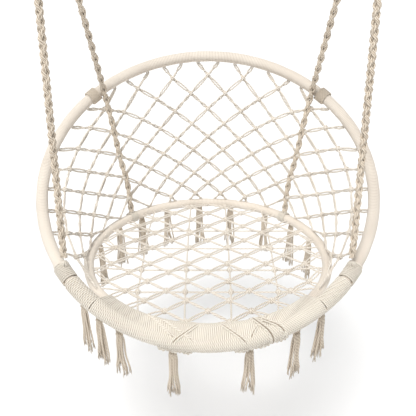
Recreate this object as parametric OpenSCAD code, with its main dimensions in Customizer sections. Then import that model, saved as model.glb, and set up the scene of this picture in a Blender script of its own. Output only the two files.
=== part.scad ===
// Saucer nest swing: a cord-wrapped outer hoop with a raised back, a smaller seat hoop lashed to it
// at the front, a knotted net in each, and two ropes that saddle over a steel ring on each side.
// The origin is midway between the lower wires of the two hanging rings, +Z up, the sitter faces -Y.
// Angles round a hoop count from its back, positive to the right.

/* [Outer hoop] */
// Diameter of the outer hoop, on the middle of its tube
outer_hoop_d = 770; // [700:2:940]
// How far the outer hoop's back is tilted up
outer_hoop_tilt = 30; // [20:1:38]
// Outside diameter of the outer hoop's steel tube
outer_tube_d = 22; // [16:1:27]

/* [Seat hoop] */
// Diameter of the seat hoop, on the middle of its tube
seat_hoop_d = 584; // [480:2:620]
// How far the seat hoop's front is tilted up
seat_hoop_tilt = 4; // [0:1:8]
// Outside diameter of the seat hoop's steel tube
seat_tube_d = 19; // [14:1:24]

/* [Tubes and wrapping] */
// Wall of both steel tubes
tube_wall = 1.5; // [1:0.1:3]
// Thickness of the cord wound round each tube
wrap_t = 3; // [2:0.5:4]
// Thickness of the cord that binds the two hoops together
binding_t = 3.5; // [2.5:0.5:5]

/* [Hanging] */
// Height from the seat hoop's middle to the rings' lower wires
hang_height = 1040; // [860:10:1600]
// Distance between the two hanging rings
hang_spread = 636; // [540:2:700]
// Distance of the seat hoop's middle in front of the rings, which balances the swing
seat_forward = 17; // [-10:0.5:50]
// Diameter of the plaited ropes
rope_d = 16; // [12:1:18]
// Angle round the outer hoop where the back ropes cross it
back_rope_angle = 46; // [40:1:52]
// Angle round the outer hoop where the front ropes are tied
front_rope_angle = 127; // [123:1:129]
// Outside diameter of a hanging ring
ring_d = 60; // [56:1:80]
// Diameter of a hanging ring's wire
ring_wire_d = 8; // [6:1:10]

/* [Nets] */
// Thickness of the knotted nets
net_t = 4; // [3:0.5:6]
// How far the back net bellies in between the hoops
net_dip = 10; // [0:1:25]

/* [Tassels] */
// Length of a tassel below its knot
tassel_length = 130; // [80:5:160]
// Diameter of a tassel at its frayed end
tassel_d = 28; // [16:1:30]

/* [Hidden] */
TASSELS_SEAT = [-97, -75, -56, -40, -24, -5, 13, 34, 52, 68, 96];
TASSELS_FRONT = [-169, -151, -143, -136, 141, 151, 167];

cord_gap = 0.5;          // between two windings of cord that lie against each other
slip_gap = 0.05;         // between a tube and the cord wound on it
binding_gap = 1.5;       // inside the binding, where it crosses the hoops at a slant
junction_drop = 22;      // angle by which the outer hoop's front lies below the seat hoop's
outer_r = outer_hoop_d / 2;
seat_r = seat_hoop_d / 2;
outer_wrap_r = outer_tube_d / 2 + wrap_t;
seat_wrap_r = seat_tube_d / 2 + wrap_t;
rope_r = rope_d / 2;
rope_angle_width = 6;    // angle of hoop that a rope and the cords beside it take up

// Middles of the two hoops: their wrappings lie against each other at the front.
seat_middle = [0, -seat_forward, -hang_height];
junction = outer_wrap_r + seat_wrap_r + 2 * cord_gap;
outer_front = seat_point(180) - junction * [0, cos(junction_drop), sin(junction_drop)];
outer_middle = outer_front + outer_r * [0, cos(outer_hoop_tilt), sin(outer_hoop_tilt)];

// Hitches: turns of rope round a hoop.
hitch_t = 0.75 * rope_d;
outer_hitch_r = outer_wrap_r + cord_gap + hitch_t;
seat_hitch_t = 5;
front_hitch_half = 3.5;  // half the angle that the front hitch covers
back_hitch_angle = 4.5;
seat_hitch_half = 2.5;

// Hanging rings and the ropes' saddles over them.
ring_r = (ring_d - ring_wire_d) / 2;
saddle_r = ring_wire_d / 2 + rope_r + 2;
saddle_step = 20;        // angle between two sections of a rope on its ring
leg_sections = 8;        // sections along each long stretch of a rope
tail_sections = 4;       // sections from the outer hoop's back down to the seat hoop
leg_y = rope_r + cord_gap;
whipping_top = -2.2 * rope_d;
whipping_length = 2 * rope_d;
whipping_bottom = whipping_top - whipping_length;
whipping_t = 3;

// Binding at the front: it starts where the seat hoop comes close to the outer hoop.
// Two lashings cross it, one each side of the front.
binding_start = 142;
lashing_t = 4;
lashing_reach = binding_gap + binding_t + cord_gap + lashing_t;
left_lashing_angles = [185, 195];
right_lashing_angles = [156, 172];
arc_ratio = outer_hoop_d / seat_hoop_d;
section_turn = 12;
section_step = 2;

// Nets.
net_end_gap = 5.5;       // angle between a net panel and the front hitch
net_end_angle = front_rope_angle - front_hitch_half - net_end_gap;
net_middle_angle = back_rope_angle - rope_angle_width / 2;
seat_net_r = seat_r - seat_wrap_r - max(seat_hitch_t, lashing_reach) - 2 * cord_gap;
net_steps = 6;

// Tassels hang below the hoops on knots that turn about a level line.
knot_r = 5;
knot_length = 16;
seat_knot_drop = seat_wrap_r + seat_hitch_t + 2 * cord_gap + knot_r;
binding_slant = 8;       // the binding slants down this much beside the outer hoop
front_knot_drop = outer_wrap_r + lashing_reach + 2 * cord_gap + knot_r + binding_slant;

$fn = 72;

function unit(v) = v / norm(v);
function tilt_back(p, a) = [p.x, p.y * cos(a) - p.z * sin(a), p.y * sin(a) + p.z * cos(a)];
function on_circle(r, a) = [r * sin(a), r * cos(a), 0];
function seat_point(a) = seat_middle + tilt_back(on_circle(seat_r, a), -seat_hoop_tilt);
function outer_point(a) = outer_middle + tilt_back(on_circle(outer_r, a), outer_hoop_tilt);
function seat_along(a) = tilt_back(on_circle(1, a + 90), -seat_hoop_tilt);
function outer_along(a) = tilt_back(on_circle(1, a + 90), outer_hoop_tilt);

// Distance to go from a tube's middle, in a direction that is slanted to the tube, to be reach
// away from that middle with the whole of an end that is half_width to each side.
function slant_distance(reach, half_width, direction, along) =
    let (slant = abs(direction * along))
        (reach + half_width * slant) / sqrt(1 - slant * slant);

// Centre line of the right-hand rope: from its front hitch up over the ring, and down
// inside the outer hoop's back to the seat hoop.
ring_foot = [hang_spread / 2, 0, 0];
front_tie = outer_point(front_rope_angle);
back_cross = outer_point(back_rope_angle);
back_inward = unit(outer_middle - back_cross);
back_pass = back_cross + (outer_wrap_r + rope_r + 2 * cord_gap) * back_inward;
seat_tie = seat_point(back_rope_angle);
leg_front_end = ring_foot + [0, -leg_y, whipping_bottom - rope_d];
start_heading = unit(leg_front_end - front_tie);
start_distance = slant_distance(
    outer_hitch_r + 2 * cord_gap, rope_r, start_heading, outer_along(front_rope_angle));
rope_start = front_tie + start_distance * start_heading;
finish_heading = unit(back_pass - seat_tie);
finish_distance = slant_distance(
    seat_wrap_r + seat_hitch_t + 3 * cord_gap, rope_r, finish_heading, seat_along(back_rope_angle));
rope_finish = seat_tie + finish_distance * finish_heading;
function leg_points(side) = [
    ring_foot + [0, side * leg_y, whipping_bottom - rope_d / 2],
    ring_foot + [0, side * leg_y, whipping_top],
    ring_foot + [0, side * (leg_y + saddle_r) / 2, whipping_top / 2 - rope_r / 2],
    ring_foot + [0, side * saddle_r, -rope_r / 4],
];
function reversed(points) = [for (i = [len(points) - 1 : -1 : 0]) points[i]];
saddle_points = [
    for (a = [180 - saddle_step : -saddle_step : saddle_step])
        ring_foot + saddle_r * [0, cos(a), sin(a)]
];
function between(p, q, n) = [for (i = [0 : n]) p + (q - p) * i / n];
rope_path = concat(
    between(rope_start, leg_points(-1)[0], leg_sections),
    [for (i = [1 : 3]) leg_points(-1)[i]],
    saddle_points,
    reversed([for (i = [1 : 3]) leg_points(1)[i]]),
    between(leg_points(1)[0], back_pass, leg_sections),
    [for (i = [1 : tail_sections]) back_pass + (rope_finish - back_pass) * i / tail_sections]
);

// Tube swept along a path that never runs straight sideways.
module swept_tube(path, r, sides) {
    last = len(path) - 1;
    function heading(i) = unit(path[min(i + 1, last)] - path[max(i - 1, 0)]);
    function across(t) = unit([1, 0, 0] - t.x * t);
    function rim(i) = [
        for (k = [0 : sides - 1])
            let (t = heading(i), b = across(t), a = 360 * k / sides)
                path[i] + r * (cos(a) * b + sin(a) * cross(t, b))
    ];
    points = [for (i = [0 : last]) each rim(i)];
    closed_loft(points, sides, last);
}

// Faces of a wall through rings of points, the first point having the number base.
function wall_faces(sides, last, base) = [
    for (i = [0 : last - 1], k = [0 : sides - 1])
        let (a = base + i * sides + k, b = base + i * sides + (k + 1) % sides)
            each [[a, b, a + sides], [b, b + sides, a + sides]]
];

// Solid through rings of points, closed at both ends.
module closed_loft(points, sides, last) {
    first_end = [for (k = [sides - 1 : -1 : 0]) k];
    last_end = [for (k = [0 : sides - 1]) last * sides + k];
    polyhedron(points, concat(wall_faces(sides, last, 0), [first_end, last_end]), convexity = 10);
}

// Open sleeve between two walls of rings, with a flat rim at each end.
module sleeve_loft(outside, inside, sides, last) {
    base = len(outside);
    inner_wall = [for (f = wall_faces(sides, last, base)) [f[2], f[1], f[0]]];
    rims = [
        for (k = [0 : sides - 1])
            let (next = (k + 1) % sides, a = last * sides + k, b = last * sides + next)
                each [[next, k, base + k, base + next], [a, b, base + b, base + a]]
    ];
    faces = concat(wall_faces(sides, last, 0), inner_wall, rims);
    polyhedron(concat(outside, inside), faces, convexity = 10);
}

module in_outer_hoop() {
    translate(outer_middle) rotate([outer_hoop_tilt, 0, 0]) children();
}

module in_seat_hoop() {
    translate(seat_middle) rotate([-seat_hoop_tilt, 0, 0]) children();
}

// Ring of tube or of cord round it; a tube's bore is r_in.
module hoop(r, r_out, r_in) {
    rotate_extrude() translate([r, 0]) difference() {
        circle(r_out);
        circle(r_in);
    }
}

// Turns of cord round part of a hoop, from one angle to another.
module turns(r, r_out, r_in, from, to) {
    rotate([0, 0, 90 - to]) rotate_extrude(angle = to - from) translate([r, 0]) difference() {
        circle(r_out);
        circle(r_in);
    }
}

module right_side(right) {
    mirror([right ? 0 : 1, 0, 0]) children();
}

module hang_ring(right) {
    color("silver") right_side(right) translate(ring_foot + [0, 0, ring_r]) rotate([90, 0, 0])
        rotate_extrude() translate([ring_r, 0]) circle(ring_wire_d / 2);
}

module rope(right) {
    color("tan") right_side(right) swept_tube(rope_path, rope_r, 10);
}

module rope_whipping(right) {
    color("wheat") right_side(right) translate(ring_foot + [0, 0, whipping_bottom])
        linear_extrude(whipping_length) difference() {
            two_rope_outline(rope_r + whipping_t);
            two_rope_outline(rope_r + cord_gap);
        }
}

module two_rope_outline(r) {
    translate([0, -leg_y]) circle(r);
    translate([0, leg_y]) circle(r);
    translate([-r, -leg_y]) square([2 * r, 2 * leg_y]);
}

module front_hitch(right) {
    color("wheat") right_side(right) in_outer_hoop()
        turns(outer_r, outer_hitch_r, outer_wrap_r + cord_gap,
            front_rope_angle - front_hitch_half, front_rope_angle + front_hitch_half);
}

module back_hitch(right) {
    from = back_rope_angle + rope_angle_width / 4;
    color("tan") right_side(right) in_outer_hoop()
        turns(outer_r, outer_hitch_r, outer_wrap_r + cord_gap, from, from + back_hitch_angle);
}

module seat_hitch(right) {
    color("tan") right_side(right) in_seat_hoop()
        turns(seat_r, seat_wrap_r + cord_gap + seat_hitch_t, seat_wrap_r + cord_gap,
            back_rope_angle - seat_hitch_half, back_rope_angle + seat_hitch_half);
}

module outer_hoop_tube() {
    color("gray") in_outer_hoop() hoop(outer_r, outer_tube_d / 2, outer_tube_d / 2 - tube_wall);
}

module outer_hoop_wrapping() {
    color("antiquewhite") in_outer_hoop() hoop(outer_r, outer_wrap_r, outer_tube_d / 2 + slip_gap);
}

module seat_hoop_tube() {
    color("gray") in_seat_hoop() hoop(seat_r, seat_tube_d / 2, seat_tube_d / 2 - tube_wall);
}

module seat_hoop_wrapping() {
    color("antiquewhite") in_seat_hoop() hoop(seat_r, seat_wrap_r, seat_tube_d / 2 + slip_gap);
}

// Panel of net from the seat hoop up to the outer hoop, bellied in between them.
module back_net(from, to) {
    count = ceil((to - from) / section_step);
    function section(a) =
        let (
            low = seat_point(a),
            high = outer_point(a),
            up = unit(high - low),
            out = unit(cross(up, outer_along(a))),
            foot_reach = seat_wrap_r + cord_gap + net_t,
            head_reach = outer_wrap_r + cord_gap + net_t,
            foot = low + up * slant_distance(foot_reach, 0, up, seat_along(a)),
            head = high - up * slant_distance(head_reach, 0, up, outer_along(a)),
            line = [
                for (i = [0 : net_steps])
                    let (s = i / net_steps)
                        foot + (head - foot) * s - out * net_dip * 4 * s * (1 - s)
            ]
        )
        concat(
            [for (p = line) p + out * net_t / 2],
            [for (p = reversed(line)) p - out * net_t / 2]
        );
    points = [for (i = [0 : count]) each section(from + (to - from) * i / count)];
    color("antiquewhite") closed_loft(points, 2 * (net_steps + 1), count);
}

module back_net_side(right) {
    right_side(right) back_net(back_rope_angle + rope_angle_width, net_end_angle);
}

module seat_net() {
    color("antiquewhite") in_seat_hoop()
        translate([0, 0, -net_t / 2]) cylinder(h = net_t, r = seat_net_r);
}

// Long round outline about both hoops, grow outside their wrappings, at one angle of the outer hoop.
function both_hoops_outline(a, grow) =
    let (
        front = a < 0 ? -180 : 180,
        high = outer_point(a),
        low = seat_point(front - (front - a) * arc_ratio),
        wide = unit(high - low),
        thick = unit(cross(outer_along(a), wide))
    )
    concat(
        [for (t = [-90 : 180 / section_turn : 90])
            high + (outer_wrap_r + grow) * (cos(t) * wide + sin(t) * thick)],
        [for (t = [90 : 180 / section_turn : 270])
            low + (seat_wrap_r + grow) * (cos(t) * wide + sin(t) * thick)]
    );

// Cord wound round both hoops, as a sleeve that is open at both ends.
module sleeve_about_both_hoops(from, to, gap, t) {
    count = ceil((to - from) / section_step);
    // Angles run on past the front, so they come back as negative ones.
    function signed(a) = a > 180 ? a - 360 : a;
    function wall(grow) = [
        for (i = [0 : count]) each both_hoops_outline(signed(from + (to - from) * i / count), grow)
    ];
    sleeve_loft(wall(gap + t), wall(gap), 2 * (section_turn + 1), count);
}

module front_binding() {
    color("antiquewhite")
        sleeve_about_both_hoops(binding_start, 360 - binding_start, binding_gap, binding_t);
}

module lashing(angles) {
    color("tan")
        sleeve_about_both_hoops(angles[0], angles[1], lashing_reach - lashing_t, lashing_t);
}

module tassel_shape() {
    rotate([0, 90, 0]) translate([0, 0, -knot_length / 2]) cylinder(h = knot_length, r = knot_r);
    translate([0, 0, -tassel_length])
        cylinder(h = tassel_length - knot_r / 2, r1 = tassel_d / 2, r2 = tassel_d / 3);
}

module tassel_at(place, a, drop) {
    color("tan") translate(place - [0, 0, drop]) rotate([0, 0, -a]) tassel_shape();
}

hang_ring(false);  // left_hang_ring
hang_ring(true);  // right_hang_ring
rope(false);  // left_rope
rope(true);  // right_rope
rope_whipping(false);  // left_rope_whipping
rope_whipping(true);  // right_rope_whipping
front_hitch(false);  // front_left_hitch
front_hitch(true);  // front_right_hitch
back_hitch(false);  // back_left_hitch
back_hitch(true);  // back_right_hitch
seat_hitch(false);  // left_seat_hitch
seat_hitch(true);  // right_seat_hitch
outer_hoop_tube();
outer_hoop_wrapping();
seat_hoop_tube();
seat_hoop_wrapping();
back_net_side(false);  // back_net_left
back_net(-net_middle_angle, net_middle_angle);  // back_net_middle
back_net_side(true);  // back_net_right
seat_net();
front_binding();
lashing(left_lashing_angles);  // left_lashing
lashing(right_lashing_angles);  // right_lashing
for (i = [1 : len(TASSELS_SEAT)]) {
    a = TASSELS_SEAT[i - 1];
    tassel_at(seat_point(a), a, seat_knot_drop);
}
for (i = [1 : len(TASSELS_FRONT)]) {
    a = TASSELS_FRONT[i - 1];
    tassel_at(outer_point(a), a, front_knot_drop);
}
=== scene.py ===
"""Saucer nest swing: two cord-wrapped hoops, knotted nets, plaited ropes and tassels.

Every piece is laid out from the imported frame's boxes. Lengths are in metres. Angles round a hoop
are in degrees, counted from the hoop's back and positive towards +X.
"""

import logging
import math
import random
from dataclasses import dataclass
from enum import Enum
from typing import Sequence

import bmesh
import bpy
import numpy as np
from mathutils import Matrix, Quaternion, Vector


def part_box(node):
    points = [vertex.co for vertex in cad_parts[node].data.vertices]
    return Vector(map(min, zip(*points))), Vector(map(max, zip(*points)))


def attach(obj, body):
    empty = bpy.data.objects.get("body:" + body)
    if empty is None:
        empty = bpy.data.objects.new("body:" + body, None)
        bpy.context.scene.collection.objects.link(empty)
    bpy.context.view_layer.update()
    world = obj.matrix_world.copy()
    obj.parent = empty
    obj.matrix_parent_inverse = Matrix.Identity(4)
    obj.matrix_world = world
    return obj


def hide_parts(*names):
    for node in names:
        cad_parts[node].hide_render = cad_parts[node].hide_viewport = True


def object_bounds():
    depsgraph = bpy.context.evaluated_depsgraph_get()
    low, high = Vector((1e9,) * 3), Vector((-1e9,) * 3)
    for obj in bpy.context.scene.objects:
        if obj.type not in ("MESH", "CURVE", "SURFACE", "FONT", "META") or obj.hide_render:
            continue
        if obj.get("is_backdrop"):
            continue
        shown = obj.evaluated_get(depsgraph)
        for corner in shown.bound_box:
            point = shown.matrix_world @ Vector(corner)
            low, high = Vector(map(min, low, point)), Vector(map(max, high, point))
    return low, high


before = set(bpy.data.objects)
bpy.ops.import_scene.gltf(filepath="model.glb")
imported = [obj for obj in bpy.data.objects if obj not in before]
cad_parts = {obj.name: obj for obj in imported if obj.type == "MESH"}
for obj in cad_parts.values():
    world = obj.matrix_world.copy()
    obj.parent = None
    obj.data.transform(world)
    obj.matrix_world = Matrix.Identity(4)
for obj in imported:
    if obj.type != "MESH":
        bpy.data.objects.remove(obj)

log = logging.getLogger("swing")
SWING = "swing"
HALF_TURN = 180.0
FULL_TURN = 360.0


class Side(Enum):
    """The two mirrored sides of the swing."""

    LEFT = -1
    RIGHT = 1

    @property
    def word(self) -> str:
        """Word that names this side in a node."""
        return self.name.lower()


class Profile(Enum):
    """How many sides the cross-section of a cord has, as a curve's bevel resolution."""

    SIX = 1
    EIGHT = 2

    @property
    def sides(self) -> int:
        """Number of points round one ring of the cord."""
        return 4 + 2 * self.value


# ---------------------------------------------------------------- geometry helpers


def unit(v: Vector) -> Vector:
    """Return v at length one."""
    return v.normalized()


def mix(a: Vector, b: Vector, t: float) -> Vector:
    """Return the point a share t of the way from a to b."""
    return a + (b - a) * t


def mirror_points(points: Sequence[Vector]) -> list[Vector]:
    """Return the points mirrored in the swing's middle plane."""
    return [Vector((-p.x, p.y, p.z)) for p in points]


def on_side(points: Sequence[Vector], side: Side) -> list[Vector]:
    """Return points drawn for the right side, moved to the given side."""
    return list(points) if side is Side.RIGHT else mirror_points(points)


def path_length(points: Sequence[Vector]) -> float:
    """Return the length along a line of points."""
    return sum((b - a).length for a, b in zip(points, points[1:]))


def smooth_line(points: Sequence[Vector], step: float, closed: bool = False) -> list[Vector]:
    """Lay a smooth curve through points.

    Args:
        points: Points that the curve passes through.
        step: Rough distance between two points of the result.
        closed: Whether the last point joins the first.

    Returns:
        Points along the curve, the last one left out where it is closed.
    """
    count = len(points)
    spans = count if closed else count - 1
    result: list[Vector] = []
    for i in range(spans):
        p1 = points[i]
        p2 = points[(i + 1) % count]
        p0 = points[i - 1] if closed or i else p1 * 2 - p2
        p3 = points[(i + 2) % count] if closed or i + 2 < count else p2 * 2 - p1
        pieces = max(1, round((p2 - p1).length / step))
        for k in range(pieces):
            t = k / pieces
            result.append(
                0.5
                * (
                    2 * p1
                    + (p2 - p0) * t
                    + (2 * p0 - 5 * p1 + 4 * p2 - p3) * t * t
                    + (3 * p1 - p0 - 3 * p2 + p3) * t**3
                )
            )
    if not closed:
        result.append(points[-1].copy())
    return result


def even_line(points: Sequence[Vector], step: float) -> list[Vector]:
    """Return points at even distances, about step apart, along a line of points."""
    whole = path_length(points)
    count = max(2, round(whole / step))
    result = [points[0].copy()]
    target = whole / count
    gone = 0.0
    for a, b in zip(points, points[1:]):
        span = (b - a).length
        while span > 0 and gone + span >= target * len(result) - 1e-9 and len(result) < count:
            result.append(mix(a, b, (target * len(result) - gone) / span))
        gone += span
    result.append(points[-1].copy())
    return result


def ring_points(middle: Vector, wide: Vector, high: Vector, count: int) -> list[Vector]:
    """Return points round an oval that reaches wide one way and high the other."""
    turns = [2 * math.pi * k / count for k in range(count)]
    return [middle + wide * math.cos(t) + high * math.sin(t) for t in turns]


def past_front(angle: float) -> float:
    """Return an angle that has run on past a hoop's front as a negative one."""
    return angle - FULL_TURN if angle > HALF_TURN else angle


@dataclass
class Guide:
    """A line with a sideways and a lifting direction at each of its points."""

    points: list[Vector]
    across: list[Vector]
    lift: list[Vector]
    gone: list[float]

    @classmethod
    def along(cls, points: Sequence[Vector], hint: Vector) -> "Guide":
        """Carry a sideways direction along a line without letting it spin.

        Args:
            points: The line.
            hint: Rough sideways direction at the start.

        Returns:
            The line with its directions.
        """
        across: list[Vector] = []
        lift: list[Vector] = []
        gone = [0.0]
        last = len(points) - 1
        side = hint
        for i, p in enumerate(points):
            ahead = unit(points[min(i + 1, last)] - points[max(i - 1, 0)])
            side = unit(side - ahead * side.dot(ahead))
            across.append(side)
            lift.append(ahead.cross(side))
            if i:
                gone.append(gone[-1] + (p - points[i - 1]).length)
        return cls(list(points), across, lift, gone)

    def beside(self, i: int, x: float, y: float) -> Vector:
        """Return the point x sideways and y up from point i."""
        return self.points[i] + self.across[i] * x + self.lift[i] * y


@dataclass
class Cord:
    """One round cord: its centre line, its radius, and whether its ends meet."""

    points: list[Vector]
    radius: float
    closed: bool = False
    thin_end: float = 1.0


@dataclass(frozen=True)
class Plait:
    """A flat plait of three strands, each a bundle of finer cords laid side by side."""

    width: float
    depth: float
    repeat: float
    cords_per_strand: int = 2
    strands: int = 3

    def cords(self, points: Sequence[Vector], hint: Vector) -> list[Cord]:
        """Plait cords along a line.

        Args:
            points: Even points along the middle of the plait.
            hint: Sideways direction of the plait's width at its start.

        Returns:
            The plait's cords.
        """
        guide = Guide.along(points, hint)
        bundle = self.width * 0.50
        fine = bundle / (1 + 0.62 * (self.cords_per_strand - 1)) / 2
        swing_x = (self.width - bundle) / 2
        swing_y = max(0.0, self.depth / 2 - fine * 1.15)
        result = []
        for strand in range(self.strands):
            shift = strand / self.strands
            for k in range(self.cords_per_strand):
                place = (k - (self.cords_per_strand - 1) / 2) * fine * 1.25
                line = []
                for i, gone in enumerate(guide.gone):
                    turn = 2 * math.pi * (gone / self.repeat + shift)
                    x = swing_x * math.sin(turn)
                    y = swing_y * math.sin(2 * turn)
                    lean = math.cos(turn)
                    x += place * math.sqrt(1 - 0.45 * lean * lean)
                    y += place * 0.5 * lean
                    line.append(guide.beside(i, x, y))
                result.append(Cord(line, fine))
        return result


@dataclass(frozen=True)
class RoundPlait:
    """A round plait of four strands, two turning each way, each a pair of finer cords."""

    reach: float
    weave: float
    fine: float
    repeat: float

    def cords(self, points: Sequence[Vector], hint: Vector) -> list[Cord]:
        """Plait cords round a line.

        Args:
            points: Even points along the middle of the plait.
            hint: Rough sideways direction at its start.

        Returns:
            The plait's cords.
        """
        guide = Guide.along(points, hint)
        result = []
        for way in (1, -1):
            for strand in (0, 1):
                for beside in (-0.5, 0.5):
                    line = []
                    for i, gone in enumerate(guide.gone):
                        turn = 2 * math.pi * gone / self.repeat
                        reach = self.reach + way * self.weave * math.cos(2 * turn)
                        round_it = way * turn + math.pi * strand
                        round_it += beside * 1.5 * self.fine / self.reach
                        line.append(guide.beside(i, reach * math.cos(round_it), reach * math.sin(round_it)))
                    result.append(Cord(line, self.fine))
        return result


@dataclass(frozen=True)
class Twist:
    """Plies turned round each other, as in a laid cord."""

    plies: int
    ply_radius: float
    reach: float
    pitch: float

    @classmethod
    def three_ply(cls, cord: float, pitch: float) -> "Twist":
        """Lay three plies in a cord of the given thickness."""
        return cls(3, cord * 0.29, cord * 0.23, pitch)

    def cords(self, points: Sequence[Vector], hint: Vector) -> list[Cord]:
        """Turn the plies round a line.

        Args:
            points: Even points along the middle of the cord.
            hint: Rough sideways direction at the start.

        Returns:
            The plies.
        """
        guide = Guide.along(points, hint)
        result = []
        for ply in range(self.plies):
            line = []
            for i, gone in enumerate(guide.gone):
                turn = 2 * math.pi * (gone / self.pitch + ply / self.plies)
                line.append(guide.beside(i, self.reach * math.cos(turn), self.reach * math.sin(turn)))
            result.append(Cord(line, self.ply_radius))
        return result


def cord_piece(name: str, cords: Sequence[Cord], profile: Profile = Profile.SIX) -> bpy.types.Object:
    """Make one mesh piece from cords, with a UV map in metres along and turns round each cord.

    Args:
        name: The piece's name.
        cords: Its cords.
        profile: Sides of each cord's cross-section.

    Returns:
        The mesh object, linked to the scene.
    """
    curve = bpy.data.curves.new(name, "CURVE")
    curve.dimensions = "3D"
    curve.bevel_depth = 1.0
    curve.bevel_resolution = profile.value
    curve.use_fill_caps = True
    for cord in cords:
        spline = curve.splines.new("POLY")
        spline.points.add(len(cord.points) - 1)
        last = len(cord.points) - 1
        spline.points.foreach_set("co", [c for p in cord.points for c in (p.x, p.y, p.z, 1.0)])
        radii = [cord.radius * (1 + (cord.thin_end - 1) * (i / last) ** 2) for i in range(last + 1)]
        spline.points.foreach_set("radius", radii)
        spline.use_cyclic_u = cord.closed
        spline.use_smooth = True
    holder = bpy.data.objects.new(name + "_line", curve)
    bpy.context.scene.collection.objects.link(holder)
    graph = bpy.context.evaluated_depsgraph_get()
    mesh = bpy.data.meshes.new_from_object(holder.evaluated_get(graph))
    bpy.data.objects.remove(holder)
    bpy.data.curves.remove(curve)
    mesh.name = name
    stretch_uv(mesh, cords, profile.sides)
    piece = bpy.data.objects.new(name, mesh)
    bpy.context.scene.collection.objects.link(piece)
    return piece


def stretch_uv(mesh: bpy.types.Mesh, cords: Sequence[Cord], sides: int) -> None:
    """Turn the first UV coordinate from a share of each cord into metres along it.

    Args:
        mesh: Mesh of all the cords, one after another.
        cords: The cords.
        sides: Points round one ring.
    """
    counts = [len(c.points) * sides for c in cords]
    # The end caps of all the cords come before their walls.
    caps = len(mesh.vertices) - sum(counts)
    per_vertex = np.repeat([0.0] + [path_length(c.points) for c in cords], [caps] + counts)
    offset = np.repeat([0.37 * i for i in range(len(cords) + 1)], [caps] + counts)
    corners = np.empty(len(mesh.loops), dtype=np.int32)
    mesh.loops.foreach_get("vertex_index", corners)
    layer = mesh.uv_layers[0]
    uv = np.empty(2 * len(mesh.loops), dtype=np.float32)
    layer.uv.foreach_get("vector", uv)
    uv[0::2] = uv[0::2] * per_vertex[corners] + offset[corners]
    layer.uv.foreach_set("vector", uv)
    layer.name = "cord"


# ---------------------------------------------------------------- finishes


class Nodes:
    """Short way to add and join the nodes of one material."""

    def __init__(self, name: str) -> None:
        """Start an empty node material with its shader and output."""
        self.material = bpy.data.materials.new(name)
        self.material.use_nodes = True
        self.tree = self.material.node_tree
        self.shader = self.tree.nodes["Principled BSDF"]

    def add(self, kind: str, **settings: object) -> bpy.types.Node:
        """Add a node of a kind and set its properties."""
        node = self.tree.nodes.new(kind)
        for key, value in settings.items():
            setattr(node, key, value)
        return node

    def join(self, source: bpy.types.NodeSocket, target: bpy.types.NodeSocket) -> None:
        """Join two sockets."""
        self.tree.links.new(source, target)

    def math(self, operation: str, a: object, b: object = 0.0) -> bpy.types.NodeSocket:
        """Add a math node on two sockets or numbers and return its output."""
        node = self.add("ShaderNodeMath", operation=operation)
        for slot, value in enumerate((a, b)):
            if isinstance(value, bpy.types.NodeSocket):
                self.join(value, node.inputs[slot])
            else:
                node.inputs[slot].default_value = value
        return node.outputs[0]

    def noise(self, vector: bpy.types.NodeSocket, scale: float, detail: float) -> bpy.types.NodeSocket:
        """Add a noise texture and return its value."""
        node = self.add("ShaderNodeTexNoise")
        self.join(vector, node.inputs["Vector"])
        node.inputs["Scale"].default_value = scale
        node.inputs["Detail"].default_value = detail
        return node.outputs["Fac"]

    def blend(
        self,
        share: bpy.types.NodeSocket,
        dark: Sequence[float],
        light: Sequence[float],
        low: float,
        high: float,
    ) -> bpy.types.NodeSocket:
        """Add a colour ramp from a dark colour at low to a light one at high."""
        ramp = self.add("ShaderNodeValToRGB")
        ramp.color_ramp.elements[0].position = low
        ramp.color_ramp.elements[1].position = high
        ramp.color_ramp.elements[0].color = (*dark, 1.0)
        ramp.color_ramp.elements[1].color = (*light, 1.0)
        self.join(share, ramp.inputs["Fac"])
        return ramp.outputs["Color"]

    def bump(self, height: bpy.types.NodeSocket, strength: float, distance: float) -> None:
        """Send a height to the shader's normal through a bump node."""
        node = self.add("ShaderNodeBump")
        node.inputs["Strength"].default_value = strength
        node.inputs["Distance"].default_value = distance
        self.join(height, node.inputs["Height"])
        self.join(node.outputs["Normal"], self.shader.inputs["Normal"])


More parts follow.
